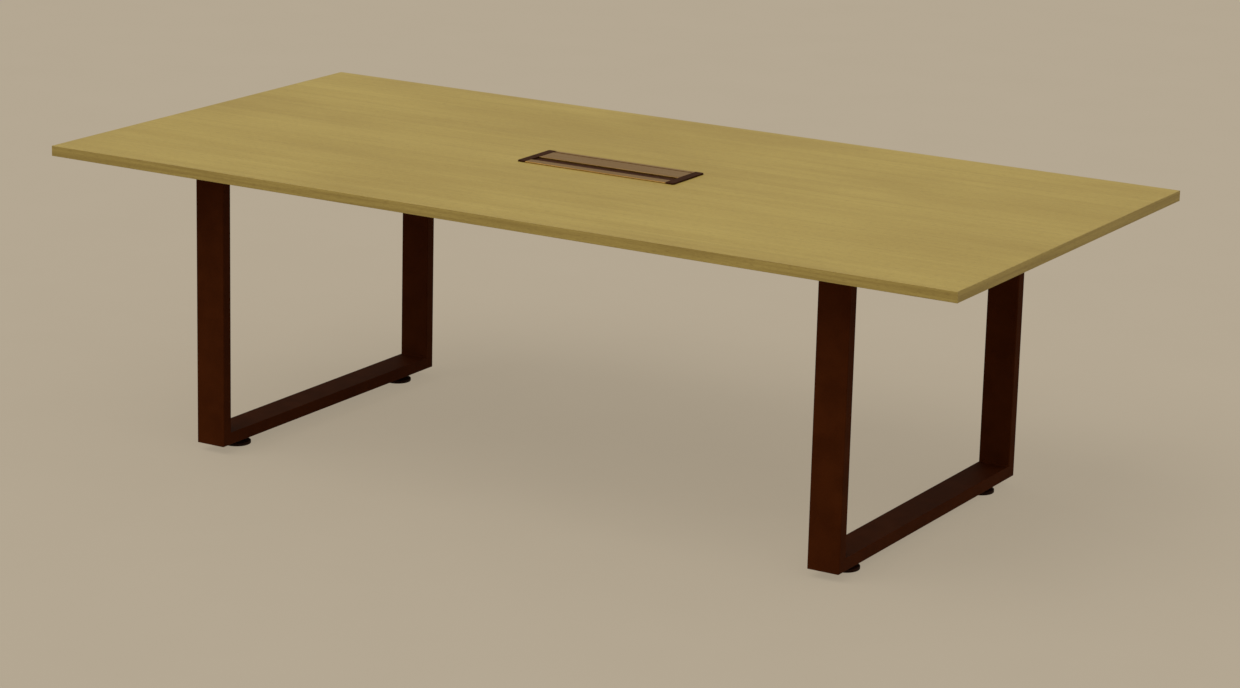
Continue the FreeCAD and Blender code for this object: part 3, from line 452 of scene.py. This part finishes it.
for foot in (f"{row}_{side}" for row, _ in ROWS for side, _ in ENDS):
    low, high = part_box(f"{foot}_foot_pad")
    pad_top = high.z
    rim = (high.x - low.x) / 2
    place = Matrix.Translation(((low.x + high.x) / 2, (low.y + high.y) / 2, 0))
    lean = 90 - math.degrees(math.atan2(pad_top - PAD_EDGE, rim - PAD_NECK))
    outline = [(PAD_SOCKET, PAD_SOCKET_FLOOR), (PAD_SOCKET, pad_top - PAD_SOCKET_CHAMFER)]
    outline += [(PAD_SOCKET + PAD_SOCKET_CHAMFER, pad_top)]
    outline += corner_arc(PAD_NECK - PAD_SOFTNESS, pad_top - PAD_SOFTNESS, PAD_SOFTNESS, 90, lean, steps=3)
    outline += corner_arc(rim - PAD_SOFTNESS, PAD_EDGE - PAD_SOFTNESS, PAD_SOFTNESS, lean, 0)
    outline += corner_arc(rim - PAD_SOFTNESS, PAD_SOFTNESS, PAD_SOFTNESS, 0, -90)
    mesh = bmesh.new()
    turn_on_lathe(mesh, outline, place, sides=PAD_SIDES)
    pad = new_piece(f"{foot}_levelling_pad", mesh, nylon, f"{foot}_pad")
    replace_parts(pad, f"{foot}_foot_pad")

    low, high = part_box(f"{foot}_foot_stem")
    flats = high.y - low.y
    collar_foot = pad_top + COLLAR_GAP
    collar_top = collar_foot + COLLAR
    thread_core = STEM_RADIUS - THREAD_DEPTH
    outline = [(STEM_RADIUS - STEM_CHAMFER, low.z), (STEM_RADIUS, low.z + STEM_CHAMFER)]
    outline += [(STEM_RADIUS, collar_foot), (flats * HEX_RIM, collar_foot)]
    outline += [hexagon(flats, collar_foot, HEX_CHAMFER), hexagon(flats, collar_top, -HEX_CHAMFER)]
    outline += [(flats * HEX_RIM, collar_top), (thread_core, collar_top)]
    thread_end = int((high.z - STEM_CHAMFER * 2 - collar_top) / THREAD_PITCH * THREAD_ROWS)
    outline += [thread_ring(collar_top, turn) for turn in range(1, thread_end)]
    outline += [(thread_core, high.z - STEM_CHAMFER), (thread_core - STEM_CHAMFER, high.z)]
    mesh = bmesh.new()
    turn_on_lathe(mesh, outline, place)
    stem = new_piece(f"{foot}_threaded_stem", mesh, zinc, f"{foot}_stem")
    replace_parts(stem, f"{foot}_foot_stem")


# ---------------------------------------------------------------- cable box: edges, lid and brush carrier
# Four aluminium extrusions, cut to length. The front and rear edges frame the opening and are screwed
# between the end caps. The lid hinges in the rear edge's trough; the carrier holds the brush in front.

# Champagne anodising: a warm satin metal with the lines of the brushing belt, 150 mm long and drawn
# 0.8 mm wide to show. They change its gloss more than its colour, so the light breaks up along them.
BELT_LINE = (150, 0.8, 0.8)
champagne, tree, place = new_finish("anodised_aluminium")
spot = add(tree, "Mapping", {"Scale": [per_metre(side) for side in BELT_LINE], "Vector": place})
lines = add(tree, "TexNoise", {"Scale": 1.0, "Detail": 1.0, "Vector": spot})
line = add(tree, "MapRange", {**NOISE_LIMITS, "Value": lines})
colour = add(tree, "Mix", {"data_type": "RGBA", "Factor": line, "A": "#A07F46", "B": "#987742"})
gloss = add(tree, "MapRange", {"To Min": 0.28, "To Max": 0.48, "Value": line})
shader = add(tree, "BsdfPrincipled", {"Base Color": colour, "Metallic": 1.0, "Roughness": gloss})
add(tree, "OutputMaterial", {"Surface": shader})
finish_nodes(champagne, ["cable_box_front_edge", "cable_box_rear_edge", "cable_box_lid", "brush_carrier"])


# ---------------------------------------------------------------- cable box: brush
# A strip of nylon bristles, crimped in the carrier: it closes the gap in front of the lid and lets
# cables through. The filaments are trimmed by machine, yet their tips never end quite in line.

# Dull brown nylon. Its tone shifts within 0.8 mm across the filaments and within 20 mm along them, so
# the strip looks combed, not solid.
STRAND = (0.8, 20, 0.8)
bristle_nylon, tree, place = new_finish("nylon_bristle")
spot = add(tree, "Mapping", {"Scale": [per_metre(side) for side in STRAND], "Vector": place})
strands = add(tree, "TexNoise", {"Scale": 1.0, "Detail": 0.0, "Vector": spot})
colour = add(tree, "Mix", {"data_type": "RGBA", "Factor": strands, "A": "#5A331A", "B": "#2E170A"})
shader = add(tree, "BsdfPrincipled", {"Base Color": colour, "Roughness": 0.55, "Specular IOR Level": 0.2})
add(tree, "OutputMaterial", {"Surface": shader})

# Real filaments are about 0.3 mm thick; these are 0.5 mm, so that they show.
BRISTLE = 0.0005
BRISTLE_PITCH = 0.0008
BRISTLE_LAYERS = 4
BRISTLE_STAGGER = (0.25, 0.75)
BRISTLE_SPLAY = 0.0006
BRISTLE_SAG = 0.3
BRISTLE_TRIM = 0.0012
BRISTLE_STEPS = 4
BRISTLE_SEED = 4

chance = random.Random(BRISTLE_SEED)
low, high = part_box("brush_bristles")
radius = BRISTLE / 2
mesh = bmesh.new()
for layer in range(BRISTLE_LAYERS):
    level = low.z + (high.z - low.z) * (layer + 0.5) / BRISTLE_LAYERS
    for index in range(int((high.x - low.x) / BRISTLE_PITCH)):
        root = low.x + BRISTLE_PITCH * (index + BRISTLE_STAGGER[layer % 2])
        splay = chance.uniform(-BRISTLE_SPLAY, BRISTLE_SPLAY)
        length = high.y - low.y - chance.uniform(0, BRISTLE_TRIM)
        rings = []
        for part in (step / BRISTLE_STEPS for step in range(BRISTLE_STEPS + 1)):
            x = min(max(root + splay * part ** 2, low.x + radius), high.x - radius)
            z = max(level - abs(splay) * BRISTLE_SAG * part, low.z + radius)
            y = low.y + length * part
            rings.append([(x - radius, y, z), (x, y, z - radius), (x + radius, y, z), (x, y, z + radius)])
        skin(mesh, rings)
filaments = new_piece("brush_filaments", mesh, bristle_nylon)
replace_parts(filaments, "brush_bristles")


# ---------------------------------------------------------------- cable box: end caps
# Two mirrored caps that close the ends of the box, with a ledge for the lid and sockets for its hinge pins.
# They drop into the board's cut-out, and their flanges cover its sawn ends.

# Moulded ABS in dark brown; the grain is drawn at 0.8 mm, twice its real size, and takes off the shine.
abs_plastic = moulded("moulded_abs", ("#3A1B07", "#311605"), grain_size=0.8, roughness=0.6, specular=0.05)
finish_nodes(abs_plastic, ["cable_box_left_cap", "cable_box_right_cap"])


# ---------------------------------------------------------------- cable box: hinge pins and lid rests
# Zinc-plated steel pins join the lid's barrel to the end caps.
# On each cap's ledge a rubber button with a soft edge cushions the closing lid.

finish_nodes(zinc, ["lid_hinge_pins"])
# Moulded rubber: black and fully matt, with a fine grain.
rubber = moulded("moulded_rubber", ("#1B1512", "#120E0C"), grain_size=0.6, roughness=0.82)
BUTTON_SIDES = 32
BUTTON_SOFTNESS = 0.0012
mesh = bmesh.new()
for low, high in solids_of("lid_rests"):
    middle = (low + high) / 2
    radius = (high.y - low.y) / 2
    edge = corner_arc(radius - BUTTON_SOFTNESS, high.z - BUTTON_SOFTNESS, BUTTON_SOFTNESS, 0, 90)
    turn_on_lathe(mesh, [(radius, low.z)] + edge, Matrix.Translation((middle.x, middle.y, 0)),
                  sides=BUTTON_SIDES)
buttons = new_piece("rubber_lid_rests", mesh, rubber)
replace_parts(buttons, "lid_rests")


# ---------------------------------------------------------------- cable tray
# A channel folded from thin steel sheet, open at both ends, with punched slots for cable ties.
# It hangs under the cable box and takes up spare lead and sockets.

# The same brown powder as the frames, smoother and a little glossier on the flat sheet. Its lightest tone is
# a painted highlight on the crests.
tray_coat = powder_coat("tray_powder_coat", thick="#351604", thin="#3C1B07", peel_highlight="#46230B",
                        peel_size=1.4, roughness=0.55)
finish_nodes(tray_coat, ["cable_tray"])


# ---------------------------------------------------------------- cross-recess screws
# Zinc-plated screws with domed heads: into the board through the tray's flanges and the caps' walls,
# and through the caps' outer walls into the screw ports of the aluminium edges.

# Shares of the head's radius across, and of its height down: the recess, then the dome from its middle.
RECESS_ARM = 0.55
RECESS_HALF_WIDTH = 0.17
RECESS_TAPER = 0.6
RECESS_FLOOR = 0.62
RECESS_LIP = 0.04
DOME = ((0.68, 0), (0.86, 0.14), (0.96, 0.42), (1, 0.75), (1, 1))
# The point's length and its blunt end, as shares of the shank's radius.
POINT_LENGTH = 2
POINT_END = 0.2


def cross(arm, half_width, level):
    """A ring on the outline of a cross, which the driver's bit fills."""
    def at(turn):
        across, up = (max(abs(part), TINY) for part in (math.cos(turn), math.sin(turn)))
        reach = max(min(arm / across, half_width / up), min(arm / up, half_width / across))
        return reach, level
    return at


def domed_screw(radius, head, shank):
    """The outline of a domed screw from the bottom of its recess to its tip, for a given length."""
    arm, half_width = radius * RECESS_ARM, radius * RECESS_HALF_WIDTH
    recess = [cross(arm * RECESS_TAPER, half_width * RECESS_TAPER, head * RECESS_FLOOR),
              cross(arm, half_width, head * RECESS_LIP)]
    dome = [(radius * across, head * down) for across, down in DOME]
    return lambda length: recess + dome + [(shank, head), (shank, length - shank * POINT_LENGTH),
                                           (shank * POINT_END, length)]


fit_fasteners("tray_cross_screws", "tray_screws", upwards,
              domed_screw(radius=0.0042, head=0.0026, shank=0.002))
fit_fasteners("board_cross_screws", "box_board_screws", outwards,
              domed_screw(radius=0.0035, head=0.0022, shank=0.00175))
fit_fasteners("cap_cross_screws", "end_cap_screws", inwards,
              domed_screw(radius=0.0028, head=0.0022, shank=0.00145))


# ---------------------------------------------------------------- studio
# A pale seamless floor under an even white sky, with a broad soft lamp high at the front left and a weak
# one at the front right. Floor and sky show the same paper tone to the eye, and the floor keeps a light
# soft shadow of the table.

PAPER = "#B6A994"
PAPER_SHADE = "#B4A792"
PAPER_CLOUD = 300
GLOW = 0.70
SKY = 0.60
FLOOR_REACH = 40
FLOOR_SIDES = 96
FLOOR_DROP = 0.0002


def seen_directly(tree):
    """1 where the camera sees it straight, in a reflection or through glass, and 0 for all other light."""
    ray = add(tree, "LightPath", {})
    looks = ray.outputs["Is Camera Ray"]
    for kind in ("Is Glossy Ray", "Is Transmission Ray"):
        looks = add(tree, "Math", {"operation": "MAXIMUM", 0: looks, 1: ray.outputs[kind]})
    return looks


# Matt paper: no gloss, a faint cloudiness over 300 mm, and part of its tone as an even glow.
# From below it is seen through.
paper, tree, place = new_finish("seamless_paper")
cloud = add(tree, "TexNoise", {"Scale": per_metre(PAPER_CLOUD), "Detail": 2.0, "Vector": place})
tone = add(tree, "Mix", {"data_type": "RGBA", "Factor": cloud, "A": PAPER, "B": PAPER_SHADE})
matt = add(tree, "BsdfPrincipled", {"Base Color": tone, "Roughness": 0.9, "Specular IOR Level": 0.0})
glow = add(tree, "Emission", {"Color": tone, "Strength": 1.0})
seen = seen_directly(tree)
share = add(tree, "Math", {"operation": "MULTIPLY", 0: seen, 1: GLOW})
upper_side = add(tree, "MixShader", {"Fac": share, 1: matt, 2: glow})
lower_side = add(tree, "NewGeometry", {}).outputs["Backfacing"]
seen_from_below = add(tree, "Math", {"operation": "MULTIPLY", 0: seen, 1: lower_side})
clear = add(tree, "BsdfTransparent", {})
sheet = add(tree, "MixShader", {"Fac": seen_from_below, 1: upper_side, 2: clear})
add(tree, "OutputMaterial", {"Surface": sheet})
mesh = bmesh.new()
bmesh.ops.create_circle(mesh, cap_ends=True, segments=FLOOR_SIDES, radius=FLOOR_REACH)
data = bpy.data.meshes.new("studio_floor")
mesh.to_mesh(data)
mesh.free()
data.materials.append(paper)
floor = bpy.data.objects.new("studio_floor", data)
floor.location.z = -FLOOR_DROP
bpy.context.scene.collection.objects.link(floor)

sky = bpy.data.worlds.new("studio_sky")
sky.use_nodes = True
bpy.context.scene.world = sky
tree = sky.node_tree
tree.nodes.clear()
light = add(tree, "Background", {"Color": "#FFFFFF", "Strength": SKY})
backdrop = add(tree, "Background", {"Color": PAPER, "Strength": 1.0})
dome = add(tree, "MixShader", {"Fac": seen_directly(tree), 1: light, 2: backdrop})
add(tree, "OutputWorld", {"Surface": dome})


def back_from(azimuth, elevation):
    """The direction from the table to something that stands at these angles: 0 is straight in front."""
    around, up = math.radians(azimuth), math.radians(elevation)
    return Vector((math.sin(around) * math.cos(up), -math.cos(around) * math.cos(up), math.sin(up)))


# Each lamp's name, its azimuth and elevation, its strength, and how wide its light is in degrees.
LAMPS = (("key_softbox", -25, 58, 1.25, 50), ("fill_softbox", 60, 40, 0.25, 70))
for name, azimuth, elevation, strength, spread in LAMPS:
    lamp = bpy.data.lights.new(name, "SUN")
    lamp.energy = strength
    lamp.angle = math.radians(spread)
    stand = bpy.data.objects.new(name, lamp)
    stand.rotation_euler = back_from(azimuth, elevation).to_track_quat("Z", "Y").to_euler()
    bpy.context.scene.collection.objects.link(stand)


# ---------------------------------------------------------------- camera
# It stands 8.5 m off in front of the table and to its right, 2.5 m above the floor, with a long lens.
# It looks down by 15 degrees and is rolled by 1.45 degrees, which tilts the table a little.

CAMERA_PLACE = (4.2544, -7.1615, 2.5405)
CAMERA_AZIMUTH = 30.48
CAMERA_ELEVATION = 15.00
CAMERA_ROLL = 1.45
CAMERA_SIGHT = 120
IMAGE_WIDTH = 1240
FOCAL_PIXELS = 3591
SENSOR = 36

back = back_from(CAMERA_AZIMUTH, CAMERA_ELEVATION)
right = Vector((0, 0, 1)).cross(back).normalized()
level_camera = Matrix((right, back.cross(right), back)).transposed()
roll = Matrix.Rotation(math.radians(CAMERA_ROLL), 3, back)
lens = bpy.data.cameras.new("camera")
lens.sensor_width = SENSOR
lens.lens = SENSOR * FOCAL_PIXELS / IMAGE_WIDTH
lens.clip_end = CAMERA_SIGHT
camera = bpy.data.objects.new("camera", lens)
camera.matrix_world = Matrix.Translation(CAMERA_PLACE) @ (roll @ level_camera).to_4x4()
bpy.context.scene.collection.objects.link(camera)
bpy.context.scene.camera = camera
bpy.context.scene.view_settings.view_transform = "Standard"
